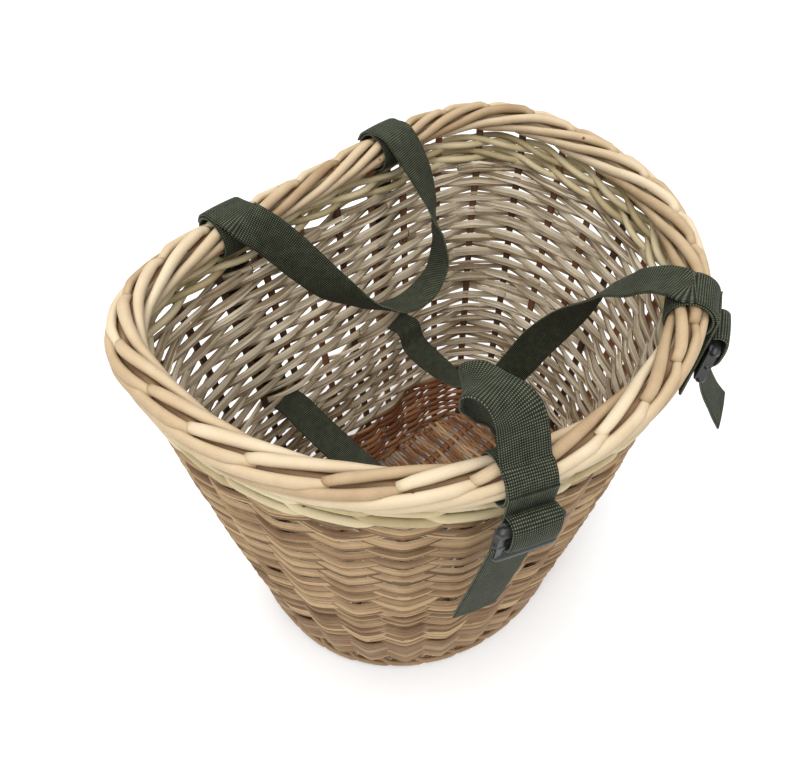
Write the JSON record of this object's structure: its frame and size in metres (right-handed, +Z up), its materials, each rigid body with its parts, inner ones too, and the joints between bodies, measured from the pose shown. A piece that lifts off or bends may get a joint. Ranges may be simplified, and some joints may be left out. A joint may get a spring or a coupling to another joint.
{
  "type": "handlebar basket",
  "caption": "Woven willow basket with a rounded nose and a flat back, for a bicycle's handlebar, with dark webbing straps and a carry loop.",
  "frame": {"origin": "on the underside of the woven base, under the middle of the rim's width", "axes": "+X along the width of the basket, the longest extent; +Y out of the flat back, towards the handlebar; +Z up, out of the open top"},
  "size_m": [0.3428, 0.2577, 0.3208],
  "materials": {
    "buff_willow": "peeled and boiled willow, satin, round strands in woven rows",
    "brown_willow": "unpeeled brown willow, satin, round strands in woven rows",
    "cream_willow": "white willow, satin, twisted rods",
    "border_willow": "white willow, semi-gloss, plaited rods with cut ends",
    "dark_willow": "dark brown willow, matt",
    "webbing": "ribbed dark olive polypropylene webbing, matt",
    "black_plastic": "moulded black plastic, satin"
  },
  "bodies": {
    "basket": {"base_weave": "brown_willow", "base_stick_1": "dark_willow", "base_stick_2": "dark_willow", "base_stick_3": "dark_willow", "base_stick_4": "dark_willow", "base_stick_5": "dark_willow", "stake_01": "dark_willow", "stake_02": "dark_willow", "stake_03": "dark_willow", "stake_04": "dark_willow", "stake_05": "dark_willow", "stake_06": "dark_willow", "stake_07": "dark_willow", "stake_08": "dark_willow", "stake_09": "dark_willow", "stake_10": "dark_willow", "stake_11": "dark_willow", "stake_12": "dark_willow", "stake_13": "dark_willow", "stake_14": "dark_willow", "stake_15": "dark_willow", "stake_16": "dark_willow", "stake_17": "dark_willow", "stake_18": "dark_willow", "stake_19": "dark_willow", "stake_20": "dark_willow", "stake_21": "dark_willow", "stake_22": "dark_willow", "stake_23": "dark_willow", "stake_24": "dark_willow", "stake_25": "dark_willow", "stake_26": "dark_willow", "stake_27": "dark_willow", "stake_28": "dark_willow", "stake_29": "dark_willow", "upsett_band": "brown_willow", "siding_lower": "buff_willow", "siding_upper": "buff_willow", "top_wale": "cream_willow", "border_rod_1": "border_willow", "border_rod_2": "border_willow", "border_rod_3": "border_willow", "rim_loop_back_left": "webbing", "rim_loop_back_right": "webbing", "rim_loop_front_left": "webbing", "rim_loop_front_right": "webbing", "strap_left": "webbing", "strap_right": "webbing"},
    "carry_loop": {"carry_loop": "webbing"},
    "adjuster_left": {"adjuster_left": "black_plastic"},
    "adjuster_right": {"adjuster_right": "black_plastic"},
    "tail_left": {"strap_tail_left": "webbing"},
    "tail_right": {"strap_tail_right": "webbing"}
  },
  "joints": [
    {"name": "carry_loop_swing", "type": "hinge", "parent": "basket", "child": "carry_loop", "pos_m": [0, 0.08314, 0.2925], "axis": [-1, 0, 0], "range_deg": [0, 150]},
    {"name": "adjuster_left_slide", "type": "slide", "parent": "basket", "child": "adjuster_left", "axis": [0, 0, -1], "range_m": [0, 0.02]},
    {"name": "adjuster_right_slide", "type": "slide", "parent": "basket", "child": "adjuster_right", "axis": [0, 0, -1], "range_m": [0, 0.02]},
    {"name": "tail_left_swing", "type": "hinge", "parent": "adjuster_left", "child": "tail_left", "pos_m": [-0.08155, -0.14534, 0.253], "axis": [-0.9067, 0.4217, 0], "range_deg": [0, 60]},
    {"name": "tail_right_swing", "type": "hinge", "parent": "adjuster_right", "child": "tail_right", "pos_m": [0.08155, -0.14534, 0.253], "axis": [-0.9067, -0.4217, 0], "range_deg": [0, 60]}
  ]
}
